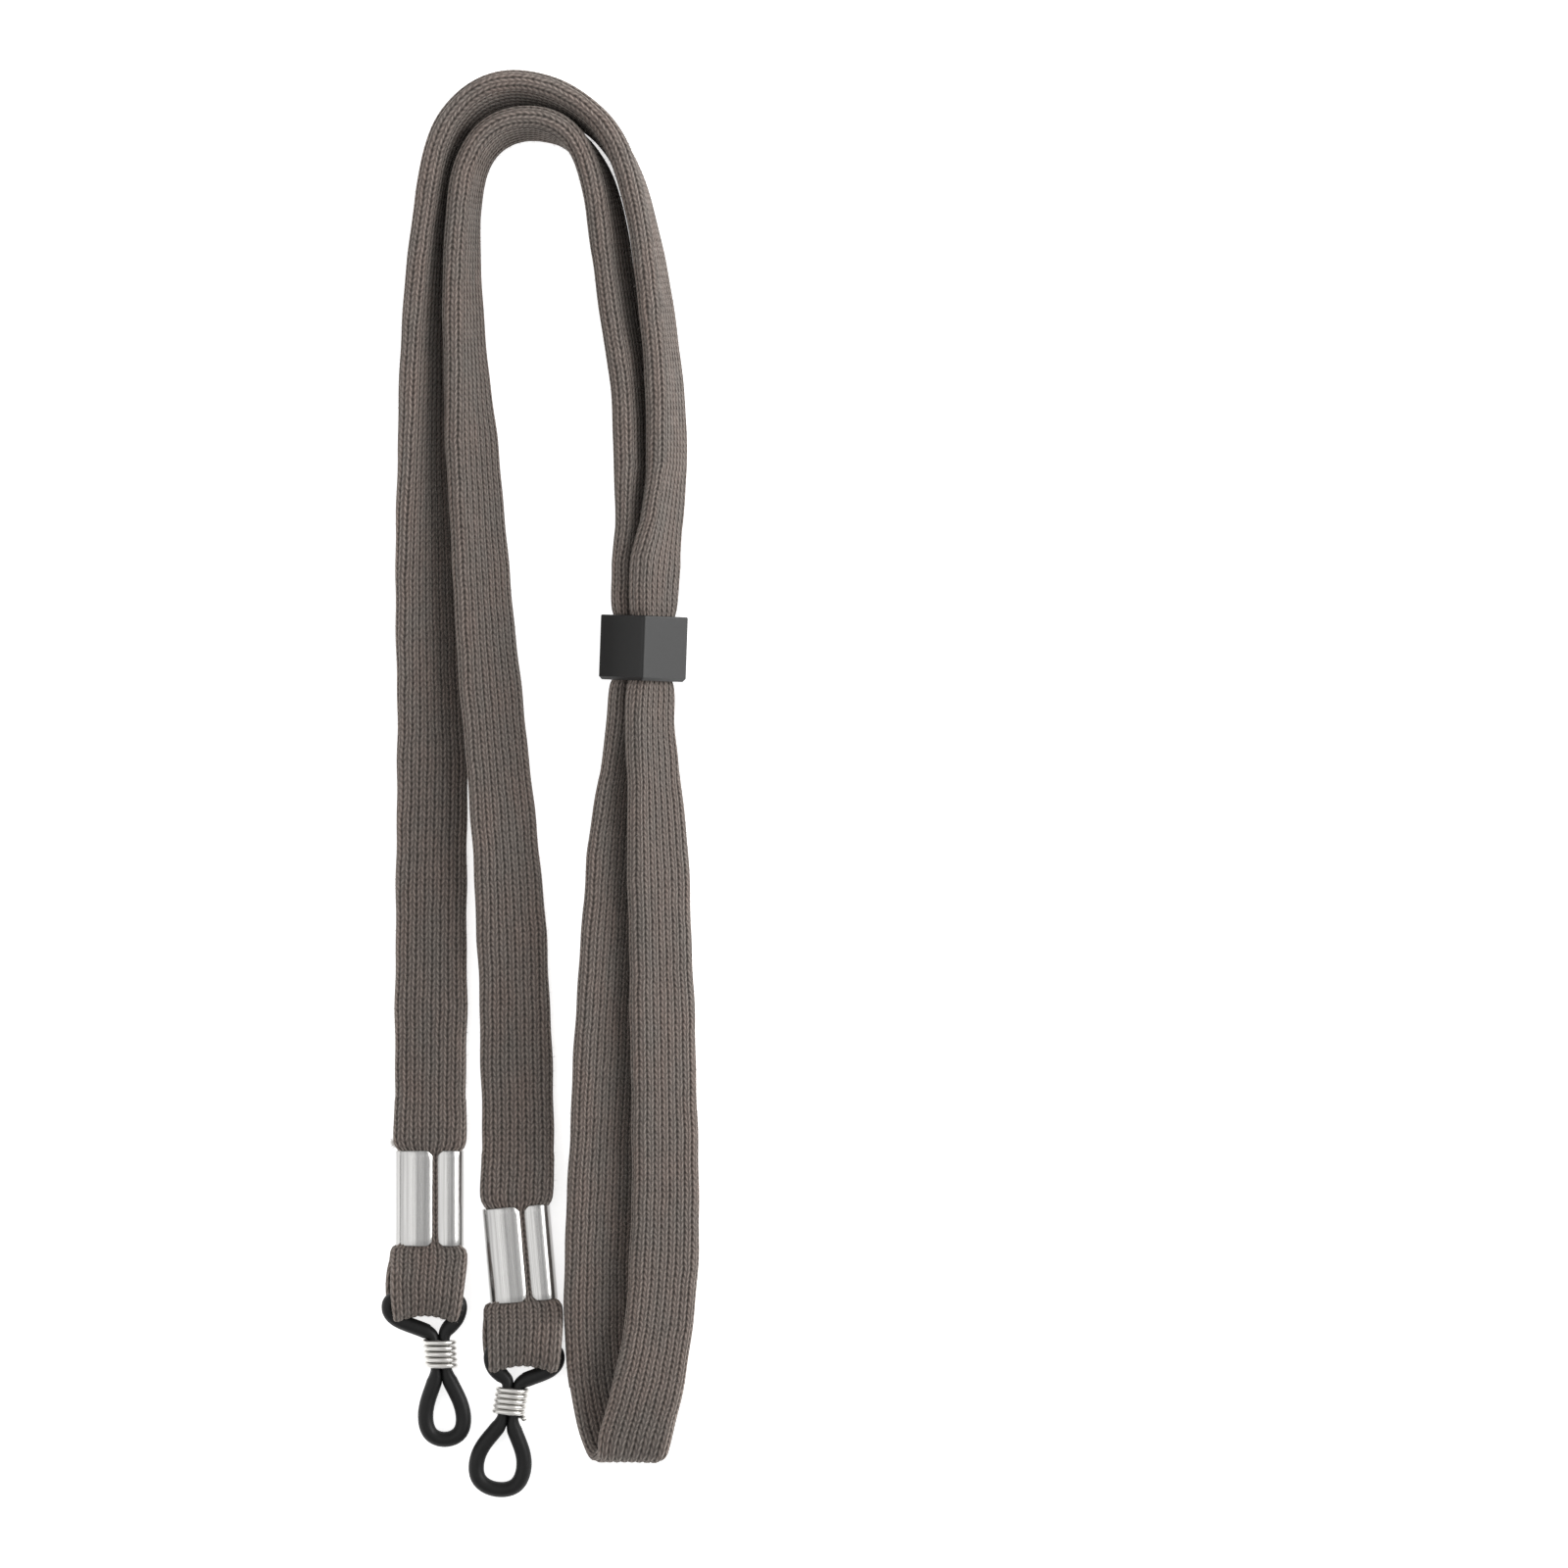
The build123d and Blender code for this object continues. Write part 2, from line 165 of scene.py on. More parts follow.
# x, y, height, lean from upright in degrees, width and thickness, in mm
ROUTE = (
    # tail and fold of the left end
    (-15.8, -53.5, 1.3, 90, *CRIMP), (-15.8, -67.3, 1.25, 90, *CRIMP), (-17.0, -70.6, 0.95, 90, *FOLD),
    (-16.7, -74.95, 0.8, 90, *FOLD), (-16.3, -74.95, 4.95, 90, *FOLD), (-16.1, -70.6, 5.0, 90, *FOLD),
    (-15.8, -67.3, 3.1, 90, *CRIMP), (-15.85, -58.5, 3.08, 90, *CRIMP), (-15.8, -51.5, 3.1, 90, *CRIMP),
    # outer leg
    (-15.7, -47.5, 2.6, 90, *FLAT), (-15.7, -41.0, 1.5, 90, *FLAT), (-15.6, -28.0, *on_table(86)),
    (-15.6, -12.0, *on_table(79)), (-15.35, 3.0, *on_table(70)), (-15.9, 15.5, *on_table(58)),
    (-16.3, 28.0, *on_table(50)), (-16.9, 50.0, *on_table(31)), (-16.5, 69.0, *on_table(22)),
    (-15.5, 82.0, *on_table(13)),
    # outer arch
    (-13.8, 90.8, *on_table(10)), (-9.8, 96.3, *on_table(10)), (-4.4, 98.4, *on_table(10)),
    (1.4, 97.6, *on_table(10)), (6.4, 95.0, *on_table(10)), (10.1, 91.4, *on_table(10)),
    (12.7, 86.0, *on_table(11)), (14.7, 78.2, *on_table(13)),
    # right side, down to the slider and through it
    (16.3, 68.0, *on_table(17)), (17.6, 56.0, *on_table(19)), (17.9, 44.5, *on_table(22)),
    (17.1, 36.8, 5.9, 31, *GATHER), (16.15, 31.3, FRONT, 44, *PINCH), (15.96, 25.7, FRONT, 44, *PINCH),
    (15.57, 14.5, FRONT, 45, *PINCH), (15.33, 7.7, FRONT, 45, *PINCH), (16.0, 1.0, 6.3, 48, *GATHER),
    (16.5, -9.0, 4.6, 52, *FLAT), (17.0, -26.0, *on_table(56)), (17.4, -43.0, *on_table(60)),
    (17.7, -60.0, *on_table(66)), (17.1, -74.0, 4.0, 68, *FLAT), (15.7, -83.0, 5.0, 71, *FLAT),
    (14.2, -89.4, 5.9, 80, *FLAT),
    # bottom fold
    (12.7, -94.85, 6.5, 88, *FLAT), (11.9, -94.85, 1.6, 88, *FLAT),
    # back up behind, and through the slider again
    (9.6, -88.6, 2.0, 82, *FLAT), (8.4, -81.5, *on_table(73)), (8.0, -72.5, *on_table(66)),
    (8.3, -60.0, *on_table(62)), (8.9, -43.0, *on_table(57)), (9.7, -26.0, *on_table(53)),
    (10.9, -9.0, 3.75, 52, *FLAT), (11.8, 1.0, 4.2, 48, *GATHER), (12.83, 7.7, BACK, 45, *PINCH),
    (13.07, 14.5, BACK, 45, *PINCH), (13.46, 25.7, BACK, 44, *PINCH), (13.65, 31.3, BACK, 44, *PINCH),
    (13.4, 36.8, 5.0, 31, *GATHER), (13.2, 44.5, *on_table(21)), (12.9, 56.0, *on_table(21)),
    (11.1, 67.0, *on_table(23)), (9.9, 76.0, *on_table(22)), (8.3, 85.4, *on_table(17)),
    # inner arch
    (4.7, 91.9, *on_table(11)), (-1.0, 93.9, *on_table(8)), (-6.7, 92.5, *on_table(8)),
    (-10.1, 87.7, *on_table(10)), (-11.1, 80.5, *on_table(12)),
    # inner leg
    (-11.2, 70.0, *on_table(19)), (-10.7, 60.0, *on_table(25)), (-9.95, 49.5, *on_table(36)),
    (-8.9, 36.0, *on_table(43)), (-7.8, 20.0, *on_table(49)), (-6.4, 6.0, *on_table(55)),
    (-4.9, -10.0, *on_table(60)), (-3.9, -26.0, *on_table(74)), (-3.5, -40.0, *on_table(88)),
    (-3.25, -49.0, 1.5, 90, *FLAT), (-3.35, -55.5, 2.6, 90, *FLAT),
    # fold and tail of the right end
    (-3.6, -59.4, 3.1, 90, *CRIMP), (-3.05, -66.4, 3.08, 90, *CRIMP), (-2.25, -75.1, 3.1, 90, *CRIMP),
    (-2.25, -77.8, 5.0, 90, *FOLD), (-2.45, -82.0, 4.95, 90, *FOLD), (-2.75, -82.0, 0.8, 90, *FOLD),
    (-3.2, -77.8, 0.95, 90, *FOLD), (-2.7, -75.1, 1.25, 90, *CRIMP), (-3.45, -61.3, 1.3, 90, *CRIMP),
)
route = np.array(ROUTE)
curve = bpy.data.curves.new("route", "CURVE")
curve.dimensions = "3D"
curve.resolution_u = 48
line = curve.splines.new("NURBS")
line.points.add(len(route) - 1)
line.points.foreach_set("co", np.c_[route[:, :3] * MM, np.ones(len(route))].ravel())
line.order_u = 3
line.use_endpoint_u = True
bare_curve = bpy.data.objects.new("route", curve)
sampled = bpy.data.meshes.new_from_object(bare_curve)
centre = np.zeros(len(sampled.vertices) * 3)
sampled.vertices.foreach_get("co", centre)
centre = centre.reshape(-1, 3)
bpy.data.objects.remove(bare_curve)

# ------------------------------------------------------------ knitted strap
WALES = 20                   # columns of stitches round the strap, 1.16 mm apart
COURSE = 0.85                # mm from one row of stitches to the next
RIB = 0.16 * MM              # how deep the groove between two columns is
TABLE = 0.02 * MM            # nothing soft sinks below this
STATIONS, AROUND = 1236, 80  # of the strap's mesh, four points to a column
SLIDER_Y = 19.2              # middle of the slider


def strap_lines():
    """The strap's middle line at even steps, with its width and face directions, width and thickness.
    Each control point holds the line most half a span after the span before it, so the section's
    lean and size are read there and run evenly between."""
    gap = np.linalg.norm(np.diff(centre, axis=0), axis=1)
    along = np.append(0, np.cumsum(gap))
    marks = np.clip(np.arange(len(route)) - 0.5, 0, len(route) - 2) / (len(route) - 2)
    marks = np.interp(marks, np.linspace(0, 1, len(centre)), along)
    s = np.linspace(0, along[-1], STATIONS)
    middle = np.stack([np.interp(s, along, centre[:, k]) for k in range(3)], -1)
    lean, wide, thick = (np.interp(s, marks, route[:, k]) for k in (3, 4, 5))
    lean = np.radians(lean)
    ahead = unit(np.gradient(middle, axis=0))
    back = np.where(s < along[-1] * 0.6, *TOP_LEAN)
    up = np.stack([-np.sin(lean), back * np.cos(lean), np.cos(lean)], -1)
    up = unit(up - (up * ahead).sum(1)[:, None] * ahead)
    return s, middle, lean, up, np.cross(ahead, up), wide * MM, thick * MM


def strap_section(wide, thick, part):
    """Where a point that share `part` of the way round lies on a flat band with round edges:
    a quarter turn about the first edge, the face, then a half turn about the other edge, and back."""
    wide, thick = wide[:, None], thick[:, None]
    flat, radius = wide - thick, thick / 2
    whole = 2 * flat + np.pi * thick
    side = np.where(part < 0.5, 1.0, -1.0)
    d = np.minimum(part, 1 - part) * whole
    quarter = np.pi * radius / 2
    first, last = d < quarter, d > quarter + flat
    a = np.where(first, d / radius, np.where(last, np.pi - (whole / 2 - d) / radius, np.pi / 2))
    x = np.where(first, flat / 2, np.where(last, -flat / 2, flat / 2 - (d - quarter))) + radius * np.cos(a)
    return x, side * radius * np.sin(a), np.cos(a), side * np.sin(a)


FERRULES = (((-15.8, -58.7, 2.2), 0.0, "left"), ((-3.0, -66.6, 2.2), 5.0, "right"))
FERRULE_L = 13.6


def ease(value, start, end):
    """0 before start, 1 after end, and a quarter of an ellipse between, steep at first."""
    share = np.clip((value - start) / (end - start), 0, 1)
    return np.sqrt(1 - (1 - share) ** 2)


def fitted(s, middle, lean, wide, thick):
    """Width and thickness as the knitted tube really fills out."""
    wide, thick = wide / MM, thick / MM
    # it opens fuller where it stands on edge
    thick = thick + 0.9 * np.cos(lean) * np.clip((2.7 - thick) / 0.3, 0, 1) * np.clip(wide - 9.2, 0, 1)
    for place, turn, side in FERRULES:
        turn = math.radians(turn)
        gap = middle[:, :2] / MM - place[:2]
        along = gap @ (-math.sin(turn), math.cos(turn))
        beside = np.abs(gap @ (math.cos(turn), math.sin(turn))) < 4.5
        # full width to within 2 mm above the ferrule
        over = beside & (along > FERRULE_L / 2 - 0.3) & (along < 14)
        wide = np.where(over, 8.7 + 1.7 * ease(along, FERRULE_L / 2 - 0.1, FERRULE_L / 2 + 1.9), wide)
        thick = np.where(over, 1.75 + 0.65 * ease(along, FERRULE_L / 2, FERRULE_L / 2 + 2.5), thick)
        # puffed out below it round the silicone, and drawn in at the bottom, where its two edges curl round
        under = beside & (along < -FERRULE_L / 2 + 0.3)
        full = 8.7 + 2.0 * ease(-along, FERRULE_L / 2 - 0.1, FERRULE_L / 2 + 1.3)
        curl = np.clip((-along - 11.6) / 5.3, 0, 1)
        wide = np.where(under, full - 3.0 * (1 - np.sqrt(1 - curl ** 2)), wide)
        thick = np.where(under, 1.65 + 0.3 * np.sin(np.pi * np.clip((-along - 6.8) / 9, 0, 1)), thick)
    # spread again from the slider's mouth
    from_slider = np.abs(middle[:, 1] / MM - SLIDER_Y)
    mouth = (middle[:, 0] > 0.008) & (from_slider < 20) & (wide < 8.7)
    wide = np.where(mouth, np.maximum(wide, 7.0 + 1.7 * ease(from_slider, 4.6, 9.0)), wide)
    # drawn in at the corner of the bottom fold
    bottom = np.clip((-middle[:, 1] / MM - 93.0) / 2.0, 0, 1) * (middle[:, 0] > 0)
    wide = wide - 2.2 * (1 - np.sqrt(1 - bottom ** 2)) * (wide > 9)
    # hand-fed knitting is never quite even
    for period, phase in ((31.0, 0.4), (17.3, 2.1), (8.9, 4.0)):
        wave = np.sin(2 * np.pi * s / MM / period + phase)
        wide, thick = wide + 0.09 * wave, thick + 0.04 * wave
    return wide * MM, thick * MM


s, middle, lean, up, face, wide, thick = strap_lines()
wide, thick = fitted(s, middle, lean, wide, thick)
part = np.arange(AROUND) / AROUND
x, y, nx, ny = strap_section(wide, thick, part[None])
rib = (np.abs(np.sin(np.pi * WALES * part)) ** 0.7 - 0.75)[None] * RIB
x, y = x + rib * nx, y + rib * ny
grid = middle[:, None] + x[..., None] * up[:, None] + y[..., None] * face[:, None]
# each fold hangs lower at its corners than in its middle
for place, turn, side in FERRULES:
    near = (np.abs(grid[..., 0] / MM - place[0]) < 7) & (grid[..., 1] / MM < place[1])
    sag = np.clip((place[1] - 10.5 - grid[..., 1] / MM) / 5, 0, 1) * near
    grid[..., 1] += sag * (0.35 - 1.0 * np.minimum(np.abs(x) / MM / 4, 1) ** 2) * MM
grid[..., 2] = np.maximum(grid[..., 2], TABLE)
strap = surface("strap_knit", grid, (np.linspace(0, WALES, AROUND + 1), s / MM / COURSE))
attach(strap, "strap")
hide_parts("knit_strap")


def fibres(name, root, way, length, width, rng):
    """Thin curved blades: each starts at its root, runs along its way and droops a quarter aside by its tip,
    as two narrow quads that end in a point."""
    aside = unit(np.cross(way, rng.normal(size=way.shape)))
    bend = np.cross(way, aside) * (length * 0.35)[:, None]
    mid = root + way * (length * 0.55)[:, None] + bend * 0.3
    tip = root + way * length[:, None] + bend
    side = aside * width / 2
    points = np.stack([root - side, root + side, mid + side * 0.8, mid - side * 0.8, tip], 1)
    points[..., 2] = np.maximum(points[..., 2], TABLE)
    base = np.arange(len(root))[:, None] * 5
    mesh = bpy.data.meshes.new(name)
    quads, tips = base + [0, 1, 2, 3], base + [3, 2, 4]
    mesh.from_pydata(points.reshape(-1, 3), [], quads.tolist() + tips.tolist())
    made = bpy.data.objects.new(name, mesh)
    bpy.context.scene.collection.objects.link(made)
    return made


FUZZ, YARN_ENDS = 16000, 70
rng = np.random.default_rng(7)
station = rng.integers(0, STATIONS, FUZZ)
spot = rng.integers(0, AROUND, FUZZ)
at = middle[station] / MM
# none inside the slider over its travel, and none inside the ferrules
clear = (np.abs(at[:, 1] - 20.5) > 12) | (at[:, 0] < 8)
for place, turn, side in FERRULES:
    clear &= (np.abs(at[:, 1] - place[1]) > 8.5) | (np.abs(at[:, 0] - place[0]) > 6)
station, spot = station[clear], spot[clear]
root = grid[station, spot]
out = unit(nx[station, spot][:, None] * up[station] + ny[station, spot][:, None] * face[station])
way = unit(out + rng.normal(scale=0.7, size=out.shape))
fuzz = fibres("strap_fuzz", root, way, rng.uniform(0.25, 0.6, len(root)) * MM, 0.035 * MM, rng)
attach(fuzz, "strap")
# a few loose yarn ends stand out where the cut tail meets the ferrule
root = np.array([-20.6, -50.9, 1.9]) * MM + rng.normal(scale=(0.15, 0.25, 0.25), size=(YARN_ENDS, 3)) * MM
way = unit(np.array([-0.7, 0.15, 0.35]) + rng.normal(scale=0.45, size=(YARN_ENDS, 3)))
tuft = fibres("frayed_yarn", root, way, rng.uniform(0.5, 1.3, YARN_ENDS) * MM, 0.06 * MM, rng)
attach(tuft, "strap")

# ------------------------------------------------------------ ferrules
WALL = 0.4              # thickness of the sheet
NOTCH, SEAM_X = 1.0, 0.8  # depth of the V at each end of the seam, and how far right the seam stands
SHEET_ROUND = 54.0      # mm round the sheet, outside and inside together
# half of the folded sheet's middle line, from its lip in the seam round to the back, in mm
LEFT_HALF = (
    (0.60, 0.5), (0.60, 0.9), (0.56, 1.3), (0.28, 1.66), (-0.4, 1.92), (-1.5, 2.08), (-2.6, 2.02),
    (-3.6, 1.74), (-4.3, 1.2), (-4.6, 0.4), (-4.62, -0.6), (-4.5, -1.6), (-4.0, -2.0), (-3.0, -2.0), (-1.2, -2.0))
RIGHT_HALF = (
    (1.2, -2.0), (3.0, -2.0), (4.0, -2.0), (4.5, -1.6), (4.62, -0.6), (4.6, 0.4), (4.4, 1.2),
    (3.95, 1.72), (3.3, 2.02), (2.5, 2.08), (1.9, 1.94), (1.34, 1.66), (1.06, 1.3), (1.0, 0.9), (1.0, 0.5))


def ferrule(name, place, turn, node_name):
    """A tube rolled from sheet: its section's middle line, half a wall thick to each side, run along its
    length, with the ends rounded over and cut to a V where the two lips meet."""
    line = spline(LEFT_HALF + RIGHT_HALF, 150)
    ahead = unit(np.gradient(line, axis=0))
    out = np.stack([-ahead[:, 1], ahead[:, 0]], -1)
    notch = NOTCH * np.clip(1 - np.abs(line[:, 0] - SEAM_X) / 1.1, 0, 1) * (line[:, 1] > 0)
    reach = FERRULE_L / 2 - notch
    lip = np.sqrt(1 - np.linspace(1, 0, 6) ** 2)[1:]
    half = np.ones(len(line))
    half[:5], half[-5:] = lip, lip[::-1]
    ring = np.concatenate([np.arange(len(line)), np.arange(len(line))[::-1]])
    side = np.concatenate([np.ones(len(line)), -np.ones(len(line))])
    turn_over = np.radians(np.linspace(90, 0, 5))
    end = WALL / 2 * (1 - np.sin(turn_over))
    inset = np.concatenate([end, [1.0, 3.0, 5.0]])
    shrink = np.concatenate([np.cos(turn_over), [1.0, 1.0, 1.0]])
    shrink[0] = 0.15
    inset = np.concatenate([inset, inset[::-1]])
    shrink = np.concatenate([shrink, shrink[::-1]])
    way = np.repeat([-1.0, 1.0], len(inset) // 2)
    off = (WALL / 2 * side * half[ring])[None] * shrink[:, None]
    flat = line[ring][None] + off[..., None] * out[ring][None]
    along = way[:, None] * (reach[ring][None] - inset[:, None])
    grid = np.stack([flat[..., 0], along, flat[..., 1]], -1)
    c, k = math.cos(math.radians(turn)), math.sin(math.radians(turn))
    spin = np.array([[c, k, 0], [-k, c, 0], [0, 0, 1]])
    grid = (grid @ spin + np.array(place)) * MM
    made = surface(name, grid, (np.linspace(0, 1, len(ring) + 1), np.linspace(0, 1, len(inset))))
    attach(made, "strap")
    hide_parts(node_name)
    return made


ferrules = [ferrule(f"ferrule_sheet_{side}", place, turn, f"ferrule_{side}") for place, turn, side in FERRULES]

# ------------------------------------------------------------ silicone loops and their coils
RUBBER = 1.1            # radius of the silicone cord
SQUEEZE = 0.33          # how much narrower the coil pinches each strand
STRAND = 0.72           # from the middle of the neck to the middle of each strand
LOBE = ((0.0, 0.0), (0.55, -0.05), (0.94, 0.05), (1.08, 1.0), (0.96, 3.2))  # share of half the lobe's width, drop
COIL_ACROSS, COIL_DEEP, WIRE = 2.05, 1.56, 0.36
COIL_TOP, COIL_END = -2.2, 1.95
COIL_STEPS = 420
RING_TILT = math.radians(4.4)
RING_X = np.array([1.0, 0.0, 0.0])
RING_Y = np.array([0.0, -math.cos(RING_TILT), -math.sin(RING_TILT)])
RING_Z = np.cross(RING_X, RING_Y)


def neck_frame(hinge, neck, tilt):
    """Middle of the neck, which stands neck = (x, y) from the hinge in the ring's own plane, and the directions
    across it and down it when it leans by tilt degrees."""
    tilt = math.radians(tilt)
    across = RING_X * math.cos(tilt) - RING_Y * math.sin(tilt)
    return np.array(hinge) + RING_X * neck[0] + RING_Y * neck[1], across, np.cross(RING_Z, across)


def silicone_loop(side, hinge, lobe, shift, frame_at_neck, eye, eye_end):
    """One closed ring of round cord: over the lobe through the strap's fold, down the neck by one strand, round
    the drop-shaped eye and up again by the other. Both strands narrow where the coil holds them."""
    origin, across, down = frame_at_neck
    half = [np.array(hinge) + RING_X * (sign * lobe * a + shift) + RING_Y * b for sign in (1, -1) for a, b in LOBE]
    strands = [origin + across * u + down * v for u, v in (
        (STRAND, -3.3), (STRAND, -1.8), (STRAND, 0.0), (STRAND, 1.8), (0.8, 3.4), (eye * 0.86, 6.2),
        (eye * 1.12, 8.8), (eye * 0.95, eye_end - 0.2), (0.0, eye_end + 0.75))]
    mirror = [origin - across * u + down * v for u, v in (
        (eye * 0.95, eye_end - 0.2), (eye * 1.12, 8.8), (eye * 0.86, 6.2), (0.8, 3.4), (STRAND, 1.8),
        (STRAND, 0.0), (STRAND, -1.8), (STRAND, -3.3))]
    path = spline(half[:5] + strands + mirror + half[:5:-1], 360, endless=True)
    reach = np.abs((path - origin) @ down)
    near = np.abs((path - origin) @ across) < 1.6
    squeeze = np.where(near, 1 - np.clip((reach - 2.2) / 1.6, 0, 1), 0)
    made = tube(f"silicone_{side}", path * MM, (RUBBER - SQUEEZE * squeeze) * MM, (RUBBER + 0.02) * MM,
                RING_Z, 24, endless=True)
    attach(made, f"loop_{side}")
    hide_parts(f"silicone_loop_{side}")
    return made


def wire_coil(side, frame_at_neck, turns, hand, wire_out):
    """Close turns of round wire on an oval, wound to the right or the left as hand is 1 or -1. The last end
    springs out a little, more with a larger wire_out."""
    origin, across, down = frame_at_neck
    a = np.linspace(0, 2 * np.pi * turns, COIL_STEPS) + np.pi / 2
    run = np.clip((a - a[0]) / (2 * np.pi * turns), 0, 1)
    swell = 1 + 0.1 * wire_out * np.clip((run - 0.965) / 0.035, 0, 1) ** 2
    wire = origin + np.outer(np.cos(a) * COIL_ACROSS * hand * swell, across) \
        + np.outer(np.sin(a) * COIL_DEEP * swell, RING_Z) \
        + np.outer(np.linspace(COIL_TOP, COIL_END, COIL_STEPS), down)
    made = tube(f"wire_coil_{side}", wire * MM, WIRE * MM, WIRE * MM, down, 12)
    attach(made, f"coil_{side}")
    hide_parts(f"cinch_coil_{side}")
    return made


left_hinge, right_hinge = (-16.2, -72.85, 2.85), (-2.5, -80.0, 2.85)
left_neck = neck_frame(left_hinge, (1.9, 8.0), 3.7)
right_neck = neck_frame(right_hinge, (-1.9, 7.65), -9.0)
silicone_left = silicone_loop("left", left_hinge, 4.8, -0.35, left_neck, 2.55, 11.7)
coil_left = wire_coil("left", left_neck, 5.05, 1, 0.5)
silicone_right = silicone_loop("right", right_hinge, 4.5, 0.1, right_neck, 3.2, 12.1)
coil_right = wire_coil("right", right_neck, 5.3, -1, 1.8)

# ------------------------------------------------------------ materials
def material(name, **shader):
    """A new material whose shader has those inputs, spaces written as underscores, with its tree and shader."""
    made = bpy.data.materials.new(name)
    made.use_nodes = True
    tree = made.node_tree
    bsdf = tree.nodes["Principled BSDF"]
    for key, value in shader.items():
        bsdf.inputs[key.replace("_", " ")].default_value = value
    return made, tree, bsdf


def knit_material():
    """Acrylic rib knit: stitches stand up in columns of small Vs with dark gaps between, dull and fuzzy; the dark
    gaps are painted shade, and the stitch tops and both edges carry painted light.
    """
    made, tree, bsdf = material("acrylic_knit", Roughness=0.9, Specular_IOR_Level=0.25, Sheen_Weight=0.5,
                                Sheen_Roughness=0.45, Sheen_Tint=srgb("#CFC8C0"))
    uv = node(tree, "ShaderNodeUVMap", uv_map="Along")
    wobble = node(tree, "ShaderNodeTexNoise", {"Vector": uv, "Scale": 0.35, "Detail": 2.0}).outputs["Color"]
    wobble = node(tree, "ShaderNodeVectorMath", {0: wobble, 1: (0.5, 0.5, 0.5)}, operation="SUBTRACT")
    place = node(tree, "ShaderNodeVectorMath", {0: wobble, 1: (0.35, 0.9, 0.0), 2: uv}, operation="MULTIPLY_ADD")
    wale, course, _ = node(tree, "ShaderNodeSeparateXYZ", {0: place}).outputs
    # distance from the middle of the wale, 0 there and 0.5 in the groove between two wales
    off = node(tree, "ShaderNodeMath", {0: wale}, operation="FRACT")
    off = node(tree, "ShaderNodeMath", {0: off, 1: 0.5}, operation="SUBTRACT")
    off = node(tree, "ShaderNodeMath", {0: off}, operation="ABSOLUTE")
    # the legs of each V rise outwards, one wave for each course
    climb = node(tree, "ShaderNodeMath", {0: off, 1: 1.6, 2: course}, operation="MULTIPLY_ADD")
    wave = node(tree, "ShaderNodeMath", {0: climb, 1: 2 * math.pi}, operation="MULTIPLY")
    wave = node(tree, "ShaderNodeMath", {0: wave}, operation="SINE")
    wave = node(tree, "ShaderNodeMath", {0: wave, 1: 0.5, 2: 0.5}, operation="MULTIPLY_ADD")
    leg = node(tree, "ShaderNodeMath", {0: off, 1: 4.2, 2: -1.0}, operation="MULTIPLY_ADD")
    leg = node(tree, "ShaderNodeMath", {0: leg}, operation="ABSOLUTE")
    leg = node(tree, "ShaderNodeMath", {0: 1.0, 1: leg}, operation="SUBTRACT")
    leg = node(tree, "ShaderNodeMath", {0: leg, 1: 0.8, 2: 0.3}, operation="SMOOTH_MIN")
    # 0.62 of the strand's height comes and goes with the wave, 0.3 stays
    share = node(tree, "ShaderNodeMath", {0: wave, 1: 0.62, 2: 0.3}, operation="MULTIPLY_ADD")
    strand = node(tree, "ShaderNodeMath", {0: share, 1: leg}, operation="MULTIPLY")
    # holes in the groove, one for each course, which the colour ramp below paints dark as shade
    groove = node(tree, "ShaderNodeMapRange", {"Value": off, "From Min": 0.27, "From Max": 0.48},
                  interpolation_type="SMOOTHSTEP")
    hole = node(tree, "ShaderNodeMath", {0: course, 1: 2 * math.pi, 2: 1.0}, operation="MULTIPLY_ADD")
    hole = node(tree, "ShaderNodeMath", {0: hole}, operation="SINE")
    hole = node(tree, "ShaderNodeMath", {0: hole, 1: 0.175, 2: 0.175}, operation="MULTIPLY_ADD")
    hole = node(tree, "ShaderNodeMath", {0: hole, 1: groove}, operation="MULTIPLY")
    height = node(tree, "ShaderNodeMath", {0: strand, 1: hole}, operation="SUBTRACT")
    # no two stitches take the light alike, and loose fibres lie over them
    column = node(tree, "ShaderNodeMath", {0: wale, 1: 2.0}, operation="MULTIPLY")
    column = node(tree, "ShaderNodeMath", {0: column}, operation="FLOOR")
    stitch = node(tree, "ShaderNodeMath", {0: climb}, operation="FLOOR")
    cell = node(tree, "ShaderNodeCombineXYZ", {0: column, 1: stitch})
    odd = node(tree, "ShaderNodeTexWhiteNoise", {"Vector": cell}, noise_dimensions="2D")
    fibre = node(tree, "ShaderNodeTexNoise", {"Vector": uv, "Scale": 3.5, "Detail": 3.0})
    height = node(tree, "ShaderNodeMath", {0: odd, 1: 0.16, 2: height}, operation="MULTIPLY_ADD")
    height = node(tree, "ShaderNodeMath", {0: fibre, 1: 0.45, 2: height}, operation="MULTIPLY_ADD")
    # yarn dyed unevenly: streaks about 10 mm long up each wale
    stretch = node(tree, "ShaderNodeMapping", {"Vector": uv, "Scale": (0.3, 0.085, 1.0)})
    streak = node(tree, "ShaderNodeTexNoise", {"Vector": stretch, "Scale": 1.0, "Detail": 3.0})
    warm = node(tree, "ShaderNodeMapRange", {"Value": streak, "From Min": 0.35, "From Max": 0.65})
    warm = node(tree, "ShaderNodeMix", {"Factor": warm, "A": srgb("#605A56"), "B": srgb("#655B56")},
                data_type="RGBA")
